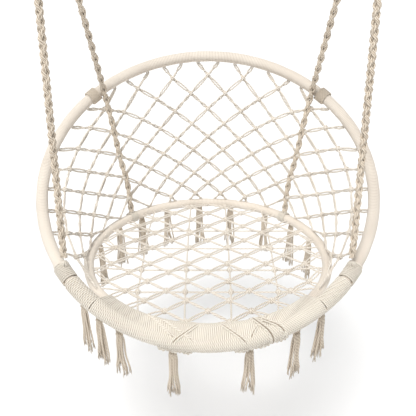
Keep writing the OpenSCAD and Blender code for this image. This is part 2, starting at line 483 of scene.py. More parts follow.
@dataclass(frozen=True)
class CottonCord:
    """Cotton cord: plies that turn round it, loose fibres, slow random changes of colour, and painted shade
    in the grooves between plies.
    """

    name: str
    # light and dark: the plies' tops and the painted shade in the grooves between them, also the two ends
    # of the random patches
    light: tuple[float, float, float]
    dark: tuple[float, float, float]
    pitch: float
    plies: int = 3
    wound: bool = False
    roughness: float = 0.92
    depth: float = 0.0008

    def ply_ridges(self, nodes: Nodes, split: bpy.types.Node) -> bpy.types.NodeSocket:
        """Return the height of the plies, one ridge for each, running slantwise along the cord."""
        turns = nodes.math("MULTIPLY", split.outputs["X"], 1 / self.pitch)
        around = nodes.math("MULTIPLY", split.outputs["Y"], float(self.plies))
        phase = nodes.math("MULTIPLY", nodes.math("ADD", turns, around), math.pi)
        return nodes.math("ABSOLUTE", nodes.math("SINE", phase))

    def turn_humps(self, nodes: Nodes, split: bpy.types.Node) -> bpy.types.NodeSocket:
        """Return the height of each turn of cord in a winding."""
        around = nodes.math("MULTIPLY", split.outputs["Y"], math.pi)
        return nodes.math("ABSOLUTE", nodes.math("SINE", around))

    def make(self) -> bpy.types.Material:
        """Build the material on the piece's own cord UV map."""
        nodes = Nodes(self.name)
        uv = nodes.add("ShaderNodeUVMap", uv_map="cord")
        split = nodes.add("ShaderNodeSeparateXYZ")
        nodes.join(uv.outputs["UV"], split.inputs["Vector"])
        place = nodes.add("ShaderNodeTexCoord").outputs["Object"]
        ridge = self.ply_ridges(nodes, split)
        # A winding's gaps between turns get the dark colour too, as painted shade.
        if self.wound:
            hump = nodes.math("POWER", self.turn_humps(nodes, split), 0.6)
            plies = nodes.math("MULTIPLY", ridge, 0.25)
            ridge = nodes.math("ADD", plies, nodes.math("MULTIPLY", hump, 0.75))
        fibre = nodes.noise(place, 900.0, 3.0)
        patches = nodes.noise(place, 14.0, 3.0)
        # Painted shade: the ply ridges (and a winding's humps) put the dark colour in the grooves; patches
        # and fibres vary the colour at random.
        tone_and_groove_shade = nodes.math("ADD", nodes.math("MULTIPLY", ridge, 0.50), nodes.math("MULTIPLY", patches, 0.30))
        tone_and_groove_shade = nodes.math("ADD", tone_and_groove_shade, nodes.math("MULTIPLY", fibre, 0.25))
        nodes.join(nodes.blend(tone_and_groove_shade, self.dark, self.light, 0.22, 0.72), nodes.shader.inputs["Base Color"])
        height = nodes.math("ADD", ridge, nodes.math("MULTIPLY", fibre, 0.5))
        nodes.bump(height, 0.8, self.depth)
        nodes.shader.inputs["Roughness"].default_value = self.roughness
        nodes.shader.inputs["Sheen Weight"].default_value = 0.2
        nodes.shader.inputs["Sheen Roughness"].default_value = 0.6
        nodes.shader.inputs["Specular IOR Level"].default_value = 0.2
        return nodes.material


@dataclass(frozen=True)
class RingSteel:
    """Zinc-plated steel wire with fine drawing lines and small worn patches."""

    name: str = "ring_steel"

    def make(self) -> bpy.types.Material:
        """Build the material on the piece's object coordinates."""
        nodes = Nodes(self.name)
        place = nodes.add("ShaderNodeTexCoord").outputs["Object"]
        wear = nodes.noise(place, 60.0, 4.0)
        lines = nodes.noise(place, 900.0, 2.0)
        color = nodes.blend(wear, (0.50, 0.51, 0.53), (0.72, 0.73, 0.75), 0.35, 0.7)
        nodes.join(color, nodes.shader.inputs["Base Color"])
        rough = nodes.math("ADD", nodes.math("MULTIPLY", wear, 0.25), 0.2)
        nodes.join(rough, nodes.shader.inputs["Roughness"])
        nodes.shader.inputs["Metallic"].default_value = 1.0
        nodes.bump(lines, 0.15, 0.0002)
        return nodes.material


@dataclass(frozen=True)
class TubeSteel:
    """Grey painted tube, hidden inside its wrapping, with a speckled powder coat."""

    name: str = "tube_steel"

    def make(self) -> bpy.types.Material:
        """Build the material on the piece's object coordinates."""
        nodes = Nodes(self.name)
        place = nodes.add("ShaderNodeTexCoord").outputs["Object"]
        grain = nodes.noise(place, 700.0, 2.0)
        color = nodes.blend(grain, (0.36, 0.36, 0.37), (0.46, 0.46, 0.47), 0.35, 0.65)
        nodes.join(color, nodes.shader.inputs["Base Color"])
        nodes.shader.inputs["Roughness"].default_value = 0.5
        nodes.bump(grain, 0.2, 0.0003)
        return nodes.material


@dataclass(frozen=True)
class Finishes:
    """All the swing's finishes, made once."""

    wrapping: bpy.types.Material
    binding: bpy.types.Material
    net: bpy.types.Material
    rope: bpy.types.Material
    # Dark finish for the lashings, painted shade for the shadowed gaps in the binding.
    lashing: bpy.types.Material
    tassel: bpy.types.Material
    ring: bpy.types.Material
    tube: bpy.types.Material

    @classmethod
    def make(cls) -> "Finishes":
        """Make each finish."""
        return cls(
            # Each cord's second colour is its painted shade in the grooves, mixed with the darker random
            # patches.
            wrapping=CottonCord(
                "wrapping_cotton", (0.85, 0.78, 0.69), (0.42, 0.34, 0.27), 0.006, wound=True
            ).make(),
            binding=CottonCord("binding_cotton", (0.91, 0.86, 0.77), (0.48, 0.40, 0.31), 0.009).make(),
            net=CottonCord("net_cotton", (0.87, 0.82, 0.74), (0.40, 0.31, 0.23), 0.009).make(),
            rope=CottonCord("rope_cotton", (0.80, 0.71, 0.59), (0.32, 0.24, 0.17), 0.010).make(),
            # The lashing's dark colours are painted shade, standing in for the deep shadow between the
            # binding's cords.
            lashing=CottonCord("painted_shade_lashing_cotton", (0.45, 0.36, 0.27), (0.20, 0.15, 0.10), 0.006).make(),
            tassel=CottonCord("tassel_cotton", (0.76, 0.67, 0.55), (0.34, 0.26, 0.19), 0.009).make(),
            ring=RingSteel().make(),
            tube=TubeSteel().make(),
        )


def dress(piece: bpy.types.Object, material: bpy.types.Material) -> None:
    """Give a piece its material."""
    piece.data.materials.clear()
    piece.data.materials.append(material)


def place_piece(
    piece: bpy.types.Object, material: bpy.types.Material, slot: str, body: str, *nodes: str
) -> None:
    """Dress a piece, let it ride on a body and let it stand for CAD nodes.

    Args:
        piece: The finished piece.
        material: Its finish.
        slot: The record's material slot; not used.
        body: The body that it moves with.
        nodes: The CAD nodes that it replaces.
    """
    dress(piece, material)
    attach(piece, body)
    if nodes:
        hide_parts(*nodes)
    log.info("%s: %d faces on %s", piece.name, len(piece.data.polygons), body)


# ---------------------------------------------------------------- the two hoops


@dataclass(frozen=True)
class Hoop:
    """A wrapped hoop in space, read from the box of its wrapping."""

    middle: Vector
    radius: float
    wrap_radius: float
    tilt: float

    @classmethod
    def from_node(cls, node: str, back_up: bool) -> "Hoop":
        """Work out a tilted ring from its box.

        Args:
            node: The wrapping's CAD node.
            back_up: Whether the back of the hoop is its higher side.

        Returns:
            The hoop.
        """
        low, high = (Vector(corner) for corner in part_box(node))
        half = (high - low) / 2
        b = 2 * (half.x - half.y - half.z)
        c = half.y**2 + half.z**2 - half.x**2
        tube = (-b - math.sqrt(b * b - 4 * c)) / 2
        tube = tube if tube > 0 else (-b + math.sqrt(b * b - 4 * c)) / 2
        radius = half.x - tube
        tilt = math.degrees(math.acos(min(1.0, (half.y - tube) / radius)))
        return cls((low + high) / 2, radius, tube, tilt if back_up else -tilt)

    def turned(self, p: Vector) -> Vector:
        """Turn a direction from the hoop's own plane into space."""
        return Matrix.Rotation(math.radians(self.tilt), 3, "X") @ p

    @property
    def axis(self) -> Vector:
        """Upward direction square to the hoop's plane."""
        return self.turned(Vector((0, 0, 1)))

    def outward(self, angle: float) -> Vector:
        """Direction from the hoop's middle through an angle."""
        a = math.radians(angle)
        return self.turned(Vector((math.sin(a), math.cos(a), 0)))

    def along(self, angle: float) -> Vector:
        """Direction along the tube at an angle, towards greater angles."""
        return self.outward(angle + 90)

    def point(self, angle: float) -> Vector:
        """Point on the middle of the tube."""
        return self.middle + self.outward(angle) * self.radius

    def skin(self, angle: float, turn: float, reach: float) -> Vector:
        """Point beside the tube's middle.

        Args:
            angle: Angle round the hoop.
            turn: Degrees round the tube, 0 outward, 90 up, 180 inward.
            reach: Distance from the tube's middle.

        Returns:
            The point.
        """
        t = math.radians(turn)
        return self.point(angle) + (self.outward(angle) * math.cos(t) + self.axis * math.sin(t)) * reach

    def coil(self, start: float, end: float, turns: float, reach: float, first: float) -> list[Vector]:
        """Lay a cord in turns round the tube.

        Args:
            start: Angle round the hoop where the turns begin.
            end: Angle where they end.
            turns: Number of turns.
            reach: Distance of the cord's middle from the tube's middle.
            first: Degrees round the tube at the first point.

        Returns:
            Points along the cord.
        """
        count = max(8, round(abs(turns) * 20))
        return [
            self.skin(start + (end - start) * i / count, first + FULL_TURN * turns * i / count, reach)
            for i in range(count + 1)
        ]


@dataclass
class WrappedHoop:
    """The cord wound tightly round one hoop, as a ridged sleeve."""

    hoop: Hoop
    node: str
    cord: float = 0.0040
    ridge: float = 0.0013
    sides: int = 16
    steps_per_turn: int = 4
    sectors: int = 24

    def build(self, material: bpy.types.Material) -> bpy.types.Object:
        """Spin a ring into the hoop, then press the winding's ridges into it."""
        hoop = self.hoop
        turns = self.sectors * round(2 * math.pi * hoop.radius / self.cord / self.sectors)
        ring = bmesh.new()
        made = bmesh.ops.create_circle(ring, segments=self.sides, radius=hoop.wrap_radius)
        bmesh.ops.rotate(ring, verts=made["verts"], matrix=Matrix.Rotation(math.pi / 2, 3, "X"))
        bmesh.ops.translate(ring, verts=made["verts"], vec=(hoop.radius, 0, 0))
        bmesh.ops.spin(
            ring,
            geom=ring.verts[:] + ring.edges[:],
            axis=(0, 0, 1),
            cent=(0, 0, 0),
            angle=2 * math.pi / self.sectors,
            steps=turns * self.steps_per_turn // self.sectors,
        )
        bmesh.ops.spin(
            ring,
            geom=ring.verts[:] + ring.edges[:] + ring.faces[:],
            axis=(0, 0, 1),
            cent=(0, 0, 0),
            angle=2 * math.pi * (self.sectors - 1) / self.sectors,
            steps=self.sectors - 1,
            use_duplicate=True,
        )
        bmesh.ops.remove_doubles(ring, verts=ring.verts, dist=1e-5)
        bmesh.ops.recalc_face_normals(ring, faces=ring.faces)
        mesh = bpy.data.meshes.new(self.node)
        ring.to_mesh(mesh)
        ring.free()
        self.press_ridges(mesh, turns)
        mesh.transform(Matrix.Translation(hoop.middle) @ Matrix.Rotation(math.radians(hoop.tilt), 4, "X"))
        mesh.polygons.foreach_set("use_smooth", [True] * len(mesh.polygons))
        piece = bpy.data.objects.new(self.node + "_cord", mesh)
        bpy.context.scene.collection.objects.link(piece)
        place_piece(piece, material, "wrapping_cotton", SWING, self.node)
        return piece

    def press_ridges(self, mesh: bpy.types.Mesh, turns: int) -> None:
        """Shape the flat hoop's skin into one turn of cord after another.

        Args:
            mesh: The hoop's mesh, lying flat about the origin.
            turns: Number of turns of cord.
        """
        hoop = self.hoop
        co = np.empty(3 * len(mesh.vertices), dtype=np.float64)
        mesh.vertices.foreach_get("co", co)
        co = co.reshape(-1, 3)
        round_hoop = np.arctan2(co[:, 1], co[:, 0])
        out = np.hypot(co[:, 0], co[:, 1]) - hoop.radius
        round_tube = np.arctan2(co[:, 2], out)
        phase = turns * round_hoop / (2 * math.pi) + round_tube / (2 * math.pi)
        hump = np.sqrt(np.clip(np.abs(np.sin(math.pi * phase)), 0, 1))
        slack = 0.35 * self.ridge * np.sin(round_hoop * 37 + 2 * np.sin(round_hoop * 11))
        reach = hoop.wrap_radius - self.ridge * (1 - hump) + np.clip(slack, -self.ridge, 0)
        flat = hoop.radius + reach * np.cos(round_tube)
        co[:, 0] = flat * np.cos(round_hoop)
        co[:, 1] = flat * np.sin(round_hoop)
        co[:, 2] = reach * np.sin(round_tube)
        mesh.vertices.foreach_set("co", co.ravel())
        self.write_uv(mesh, round_hoop, round_tube, turns)

    def write_uv(
        self, mesh: bpy.types.Mesh, round_hoop: np.ndarray, round_tube: np.ndarray, turns: int
    ) -> None:
        """Write the cord UV map, metres along the winding and turns round the cord.

        Args:
            mesh: The hoop's mesh.
            round_hoop: Each vertex's angle round the hoop.
            round_tube: Each vertex's angle round the tube.
            turns: Number of turns of cord.
        """
        corners = np.empty(len(mesh.loops), dtype=np.int32)
        mesh.loops.foreach_get("vertex_index", corners)
        first = np.empty(len(mesh.polygons), dtype=np.int32)
        mesh.polygons.foreach_get("loop_start", first)
        count = np.empty(len(mesh.polygons), dtype=np.int32)
        mesh.polygons.foreach_get("loop_total", count)
        lead = np.repeat(corners[first], count)

        def joined(angles: np.ndarray) -> np.ndarray:
            """Keep a face's corners on one side of the seam."""
            step = angles[corners] - angles[lead]
            return angles[lead] + (step + math.pi) % (2 * math.pi) - math.pi

        hoop_angle = joined(round_hoop)
        tube_angle = joined(round_tube)
        uv = np.empty(2 * len(mesh.loops), dtype=np.float32)
        uv[0::2] = tube_angle * self.hoop.wrap_radius
        uv[1::2] = turns * hoop_angle / (2 * math.pi)
        mesh.uv_layers.new(name="cord")
        mesh.uv_layers["cord"].uv.foreach_set("vector", uv)


def dress_node(node: str, material: bpy.types.Material) -> None:
    """Give a CAD node that keeps its shape a better material."""
    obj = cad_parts[node]
    if not obj.material_slots:
        obj.data.materials.append(material)
    for slot in obj.material_slots:
        slot.material = material
    log.info("%s: dressed", node)


# ---------------------------------------------------------------- ropes and their fastenings


@dataclass
class Ropes:
    """The plaited ropes, one on each side, and the cords that fasten them."""

    outer: Hoop
    seat: Hoop
    back_angle: float = 46.0
    front_angle: float = 127.0
    rope: float = 0.016
    gap: float = 0.0005
    hitch: float = 0.012
    seat_hitch: float = 0.005
    whipping: float = 0.003
    step: float = 0.0045
    ring_wire: float = 0.008
    saddle_gap: float = 0.002
    saddle_step: int = 20
    leg_sections: int = 8
    # How far each quarter of a back rope's last stretch wavers towards the middle.
    waver: tuple[float, ...] = (0.002, 0.002, 0.006, 0.0)
    front_hitch_cord: float = 0.0045
    front_hitch_half: float = 3.4
    back_hitch_cord: float = 0.0046
    back_hitch_turns: float = 6.0
    # Angles from a back rope to the two ends of its hitch.
    back_hitch_ends: tuple[float, float] = (0.9, 5.4)
    seat_hitch_cord: float = 0.0032
    seat_hitch_half: float = 2.5

    @property
    def foot(self) -> Vector:
        """Lower wire of the right-hand ring, where the rope's saddle bears."""
        low, high = (Vector(corner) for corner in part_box("right_hang_ring"))
        return Vector(((low.x + high.x) / 2, 0, 0))

    @property
    def whipping_ends(self) -> tuple[float, float]:
        """Lowest and highest level of the whipping."""
        low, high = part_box("right_rope_whipping")
        return low[2], high[2]

    @staticmethod
    def slanted(reach: float, half_width: float, heading: Vector, along: Vector) -> float:
        """Distance to go along a slanted heading to be reach away from a tube's middle."""
        slant = abs(heading.dot(along))
        return (reach + half_width * slant) / math.sqrt(1 - slant * slant)

    def route(self) -> list[Vector]:
        """Points of the right-hand rope's centre line, from the front hitch to the seat hoop."""
        half = self.rope / 2
        leg = half + self.gap
        saddle = self.ring_wire / 2 + half + self.saddle_gap
        foot = self.foot
        bottom, top = self.whipping_ends
        front_end = foot + Vector((0, -leg, bottom - self.rope))
        tie = self.outer.point(self.front_angle)
        heading = unit(front_end - tie)
        reach = self.outer.wrap_radius + self.gap + self.hitch + 2 * self.gap
        start = tie + heading * self.slanted(reach, half, heading, self.outer.along(self.front_angle))
        cross = self.outer.point(self.back_angle)
        inward = unit(self.outer.middle - cross)
        back_pass = cross + inward * (self.outer.wrap_radius + half + 2 * self.gap)
        seat_tie = self.seat.point(self.back_angle)
        down = unit(back_pass - seat_tie)
        reach = self.seat.wrap_radius + self.seat_hitch + 3 * self.gap
        finish = seat_tie + down * self.slanted(reach, half, down, self.seat.along(self.back_angle))
        up = [
            foot + Vector((0, -leg, bottom - half)),
            foot + Vector((0, -leg, top)),
            foot + Vector((0, -(leg + saddle) / 2, top / 2 - half / 2)),
            foot + Vector((0, -saddle, -half / 4)),
        ]
        over = [
            foot + Vector((0, math.cos(math.radians(a)), math.sin(math.radians(a)))) * saddle
            for a in range(180 - self.saddle_step, 0, -self.saddle_step)
        ]
        down_leg = [Vector((p.x, -p.y, p.z)) for p in reversed(up)]
        count = self.leg_sections
        lower = [mix(start, up[0], i / count) for i in range(count)]
        upper = [mix(down_leg[-1], back_pass, i / count) for i in range(1, count + 1)]
        tail = []
        for i, inward_shift in enumerate(self.waver, 1):
            tail.append(mix(back_pass, finish, i / len(self.waver)) - Vector((inward_shift, 0, 0)))
        return lower + up + over + down_leg + upper + tail

    def build_ropes(self, material: bpy.types.Material) -> None:
        plait = RoundPlait(reach=0.0046, weave=0.0021, fine=0.0023, repeat=0.062)
        for side in Side:
            route = even_line(smooth_line(on_side(self.route(), side), 0.006), self.step)
            name = f"{side.word}_rope"
            hint = unit(Vector((0.8 * side.value, 0.6, 0)))
            piece = cord_piece(name + "_plait", plait.cords(route, hint), Profile.SIX)
            place_piece(piece, material, "rope_cotton", SWING, name)
            path = even_line(route, 0.01)
            log.info("%s is %.3f m long", name, path_length(path))

    def build_whippings(self, material: bpy.types.Material) -> None:
        """Wind a cord round the two legs of each rope, below its ring."""
        bottom, top = self.whipping_ends
        cord = self.whipping
        leg = self.rope / 2 + self.gap
        reach = self.rope / 2 + self.gap + cord / 2
        rounds = int((top - bottom) / cord)
        corners = 12
        for side in Side:
            line = []
            total = rounds * 2 * (corners + 1)
            for i in range(total):
                half, k = divmod(i % (2 * (corners + 1)), corners + 1)
                turn = math.radians(HALF_TURN * k / corners + (0 if half == 0 else HALF_TURN))
                level = bottom + cord / 2 + (top - bottom - cord) * i / (total - 1)
                centre = leg if half == 0 else -leg
                line.append(Vector((reach * math.cos(turn), centre + reach * math.sin(turn), level)))
            line = [self.foot + p for p in line]
            points = on_side(line, side)
            piece = cord_piece(f"{side.word}_whipping_cord", [Cord(points, cord / 2)], Profile.EIGHT)
            place_piece(piece, material, "binding_cotton", SWING, f"{side.word}_rope_whipping")

    def build_front_hitches(self, material: bpy.types.Material) -> None:
        """Wind cord round the outer hoop at each front corner and knot it where the rope ends."""
        cord = self.front_hitch_cord
        reach = self.outer.wrap_radius + self.gap + cord / 2
        half = self.front_hitch_half - math.degrees(cord / 2 / self.outer.radius)
        low = self.front_angle - half
        high = self.front_angle + half
        turns = round(math.radians(high - low) * self.outer.radius / cord)
        twist = Twist.three_ply(cord, 0.016)
        for side in Side:
            line = even_line(on_side(self.outer.coil(low, high, turns, reach, 30.0), side), 0.003)
            cords = twist.cords(line, Vector((1, 0.2, 0.1)))
            for turn_line in self.front_knot():
                line = even_line(on_side(turn_line, side), 0.0025)
                cords += twist.cords(line, Vector((0.3, 1, 0.2)))
            piece = cord_piece(f"front_{side.word}_hitch_cord", cords)
            place_piece(piece, material, "binding_cotton", SWING, f"front_{side.word}_hitch")

    def front_knot(self) -> list[list[Vector]]:
        """Return the turns of the right-hand knot, on the side of the hoop where the rope comes down."""
        route = self.route()
        tie = self.outer.point(self.front_angle)
        up = unit(route[0] - tie)
        centre = tie + up * (self.outer.wrap_radius + 0.0085)
        along = self.outer.along(self.front_angle)
        across = up.cross(along)
        result = []
        for lean, size in ((0.0, 0.0085), (38.0, 0.0080), (-38.0, 0.0080), (90.0, 0.0070)):
            flat = Quaternion(up, math.radians(lean)) @ across
            ring = ring_points(centre, flat * size, up * (size * 0.8), 24)
            result.append([*ring, ring[0]])
        return result

    def build_back_hitches(self, material: bpy.types.Material) -> None:
        """Take thick cord round the outer hoop beside each back rope."""
        cord = self.back_hitch_cord
        reach = self.outer.wrap_radius + self.gap + cord / 2
        edge = math.degrees(cord / 2 / self.outer.radius)
        low = self.back_angle + self.back_hitch_ends[0] + edge
        high = self.back_angle + self.back_hitch_ends[1] - edge
        twist = Twist.three_ply(cord, 0.020)
        coil = self.outer.coil(low, high, self.back_hitch_turns, reach, 190.0)
        for side in Side:
            line = even_line(on_side(coil, side), 0.003)
            piece = cord_piece(f"back_{side.word}_hitch_turns", twist.cords(line, self.outer.along(0)))
            place_piece(piece, material, "rope_cotton", SWING, f"back_{side.word}_hitch")

    def build_seat_hitches(self, material: bpy.types.Material) -> None:
        """Wind the rope's own cords round the seat hoop where it ends."""
        cord = self.seat_hitch_cord
        reach = self.seat.wrap_radius + self.gap + cord / 2
        half = self.seat_hitch_half - math.degrees(cord / 2 / self.seat.radius)
        turns = int(math.radians(2 * half) * self.seat.radius / cord) + 1
        for side in Side:
            low = self.back_angle - half
            high = self.back_angle + half
            line = even_line(on_side(self.seat.coil(low, high, turns, reach, 90.0), side), 0.003)
            cords = Twist.three_ply(cord, 0.014).cords(line, Vector((1, 0.2, 0.1)))
            cords += self.seat_knot(side)
            piece = cord_piece(f"{side.word}_seat_hitch_cord", cords)
            place_piece(piece, material, "rope_cotton", SWING, f"{side.word}_seat_hitch")

    def seat_knot(self, side: Side) -> list[Cord]:
        """Tie the rope's last cords in a small knot against the seat hoop."""
        route = on_side(self.route(), side)
        down = unit(route[-1] - route[-2])
        centre = route[-1] + down * 0.003
        across = unit(down.cross(Vector((0, 1, 0))))
        result = []
        for lean in (-28.0, 28.0, 90.0):
            flat = Quaternion(down, math.radians(lean)) @ across
            result.append(Cord(ring_points(centre, flat * 0.0062, down * 0.0042, 14), 0.0022, closed=True))
        return result

    def build(self, finishes: Finishes) -> None:
        """Build the ropes and all their fastenings."""
        self.build_ropes(finishes.rope)
        self.build_whippings(finishes.binding)
        self.build_front_hitches(finishes.binding)
        self.build_back_hitches(finishes.rope)
        self.build_seat_hitches(finishes.binding)


# ---------------------------------------------------------------- nets


def knot_cords(centre: Vector, normal: Vector, one: Vector, other: Vector, size: float) -> list[Cord]:
    """Make a small round knot, two turns one way and one across them.

    Args:
        centre: The knot's middle.
        normal: Direction square to the net.
        one: Direction of the first cord through the knot.
        other: Direction of the second cord.
        size: Radius of the knot's turns.

    Returns:
        The closed turns.
    """
    result = []
    for way, shift in ((one, -0.35), (one, 0.35), (other, 0.0)):
        flat = unit(way - normal * way.dot(normal))
        wide = normal.cross(flat)
        middle = centre + flat * (shift * size)
        ring = ring_points(middle, wide * size, normal * (size * 0.85), 7)
        result.append(Cord(ring, size * 0.40, closed=True))
    return result


@dataclass
class BackNet:
    """The net of doubled, knotted cords between the two hoops, behind and beside the sitter."""

    outer: Hoop
    seat: Hoop
    dip: float = 0.010
    cord: float = 0.0044
    pair_gap: float = 0.0032
    tie_gap: float = 0.0024
    knot: float = 0.0058
    # Shares of a mesh at which its two cords stand apart, and how far, as shares of the pair's gap.
    open_from: float = 0.28
    open_to: float = 0.72
    open_share: float = 0.85
    end_share: float = 0.6
    # How far the cords pass in front of each other, at a crossing and in a knot.
    crossing_lift: float = 0.0020
    knot_lift: float = 0.0014
    rope_angle: float = 46.0
    rope_step: int = 6
    # Where each slanting cord is tied, from the left front round the back to the right front.
    outer_ties: tuple[float, ...] = (-117, -110, -101, -92, -84, -75, -64, -54, -34, -18, -4, 11, 25, 40)
    seat_ties: tuple[float, ...] = (-89, -70, -55, -35, -19, -4, 10, 22, 34, 55, 70, 89, 107, 122)
    rope_knots: tuple[float, ...] = (0.13, 0.30, 0.48, 0.66, 0.83)
    rounds: int = 45

    def frame_at(self, angle: float) -> tuple[Vector, Vector, Vector]:
        """Return the points on both hoops at an angle and the direction out of the net."""
        low = self.seat.point(angle)
        high = self.outer.point(angle)
        return low, high, unit((high - low).cross(self.outer.along(angle)))

    def surface(self, angle: float, height: float) -> Vector:
        """Return the point on the bellied net at an angle and a share of its height."""
        low, high, out = self.frame_at(angle)
        return mix(low, high, height) - out * (self.dip * 4 * height * (1 - height))

    def nearest(self, target: Vector, angle: float, height: float) -> tuple[float, float]:
        """Return the net's own coordinates nearest a point, from a first guess."""
        for _ in range(2):
            here = self.surface(angle, height)
            turn = self.surface(angle + 0.5, height) - here
            rise = self.surface(angle, height + 0.01) - here
            off = target - here
            a, b, c = turn.dot(turn), turn.dot(rise), rise.dot(rise)
            det = a * c - b * b
            angle += 0.5 * (c * off.dot(turn) - b * off.dot(rise)) / det
            height += 0.01 * (a * off.dot(rise) - b * off.dot(turn)) / det
        return angle, height

    def relax(self) -> tuple[dict, list[list], dict]:
        """Pull the net tight between its ties, and let its knots settle on the bellied surface.

        Returns:
            Each knot's place, the knots along each cord, and each knot's net coordinates.
        """
        ties = list(zip(self.outer_ties, self.seat_ties))
        height: dict = {}
        for i, (top_i, foot_i) in enumerate(ties):
            for j, (top_j, foot_j) in enumerate(ties):
                share = (-foot_j - foot_i) / ((top_i - foot_i) + (top_j - foot_j))
                if 0.02 < share < 0.985:
                    height[(i, j)] = share
        own = {k: (ties[k[0]][1] + (ties[k[0]][0] - ties[k[0]][1]) * s, s) for k, s in height.items()}
        place: dict = {k: self.surface(*own[k]) for k in own}
        beside: dict = {k: [] for k in own}
        lines: list[list] = []
        for family, sign in ((0, 1), (1, -1)):
            for i, (top, foot) in enumerate(ties):
                inner = sorted((k for k in height if k[family] == i), key=lambda k: -height[k])
                place[("top", family, i)] = self.outer.point(sign * top)
                place[("foot", family, i)] = self.seat.point(sign * foot)
                line = [("top", family, i), *inner, ("foot", family, i)]
                lines.append(line)
                for a, b in zip(line, line[1:]):
                    if a in beside:
                        beside[a].append(b)
                    if b in beside:
                        beside[b].append(a)
        for sign in (-1, 1):
            held = [k for k in height if (k[0] - k[1]) * sign == self.rope_step]
            held.sort(key=lambda k: -height[k])
            for k, share in zip(held, self.rope_knots):
                own[k] = (sign * self.rope_angle, 1 - share)
                place[k] = self.surface(*own[k])
                beside.pop(k, None)
        for _ in range(self.rounds):
            for k, others in beside.items():
                middle = sum((place[o] for o in others), Vector()) / len(others)
                own[k] = self.nearest(middle, *own[k])
                place[k] = self.surface(*own[k])
        return place, lines, own

    def tie(self, hoop: Hoop, key: tuple, inner: Vector, half: int) -> list[Vector]:
        """Let a cord's end go in under the wrapping of a hoop.

        Args:
            hoop: The hoop.
            key: The cord's end, which gives its angle.
            inner: The knot nearest the hoop.
            half: Which cord of the pair, -1 or 1.

        Returns:
            Two points, the first just outside the wrapping and the last inside it.
        """
        sign = 1 if key[1] == 0 else -1
        ties = self.outer_ties if key[0] == "top" else self.seat_ties
        centre = hoop.point(sign * ties[key[2]])
        along = hoop.along(sign * ties[key[2]])
        toward = inner - centre
        toward = unit(toward - along * toward.dot(along))
        shift = along * (half * self.tie_gap)
        outside = centre + toward * (hoop.wrap_radius + 0.003) + shift
        return [outside, centre + toward * (hoop.wrap_radius - 0.003) + shift]

    def build(self, material: bpy.types.Material) -> None:
        """Lay every doubled cord and tie every knot, in three panels."""
        place, lines, own = self.relax()
        panels: dict[str, list[Cord]] = {"left": [], "middle": [], "right": []}
        for line in lines:
            self.lay_pair(line, place, panels)
        for key, (angle, _) in own.items():
            _, _, out = self.frame_at(angle)
            one = self.outer.along(angle) + Vector((0, 0, 0.8))
            other = self.outer.along(angle) - Vector((0, 0, 0.8))
            cords = knot_cords(place[key], out, one, other, self.knot)
            panels[self.panel(place[key])] += cords
        for word, cords in panels.items():
            piece = cord_piece(f"back_net_{word}_cords", cords)
            place_piece(piece, material, "net_cotton", SWING, f"back_net_{word}")

    def panel(self, p: Vector) -> str:
        """Name the panel that a point belongs to."""
        flat = p - self.seat.middle
        angle = math.degrees(math.atan2(flat.x, flat.y))
        if abs(angle) < self.rope_angle:
            return "middle"
        return "right" if angle > 0 else "left"

    def lay_pair(self, line: list, place: dict, panels: dict[str, list[Cord]]) -> None:
        """Lay the two cords of one slanting line, drawn together at each knot.

        Args:
            line: The keys of the knots along it.
            place: Each key's place.
            panels: Cords of each panel, added to.
        """
        knots = [place[k] for k in line[1:-1]]
        above = knots[0] if knots else place[line[-1]]
        below = knots[-1] if knots else place[line[0]]
        middle = self.seat.middle
        for half in (-1, 1):
            top = self.tie(self.outer, line[0], above, half)
            foot = self.tie(self.seat, line[-1], below, half)
            points = [top[1], top[0]]
            previous = top[0]
            for index, knot in enumerate([*knots, None]):
                ahead_to = foot[0] if knot is None else knot
                out = unit(Vector((ahead_to.x - middle.x, ahead_to.y - middle.y, 0)))
                ahead = unit(ahead_to - previous)
                wide = unit(ahead.cross(out)) * (half * self.pair_gap)
                if index == 0 or knot is None:
                    wide *= self.end_share
                crossed = -1 if (index * 7 + len(knots) * 3) % 5 < 3 else 1
                lift = out * (self.crossing_lift * half if crossed < 0 else 0.0)
                points.append(mix(previous, ahead_to, self.open_from) + wide * self.open_share)
                points.append(mix(previous, ahead_to, 0.5) + lift + wide * (0.0 if crossed < 0 else 1.0))
                points.append(mix(previous, ahead_to, self.open_to) + wide * (self.open_share * crossed))
                if knot is not None:
                    swap = half * (1 if index % 2 else -1)
                    points.append(knot + out * (self.knot_lift * swap))
                previous = ahead_to
            points += foot
            self.share_out(smooth_line(points, 0.007), panels)

    def share_out(self, points: list[Vector], panels: dict[str, list[Cord]]) -> None:
        """Cut a cord where it leaves a panel and give each length to its own panel."""
        run = [points[0]]
        word = self.panel(points[0])
        for p in points[1:]:
            run.append(p)
            now = self.panel(p)
            if now != word:
                if len(run) > 1:
                    panels[word].append(Cord(run, self.cord / 2))
                run = [p]
                word = now
        if len(run) > 1:
            panels[word].append(Cord(run, self.cord / 2))


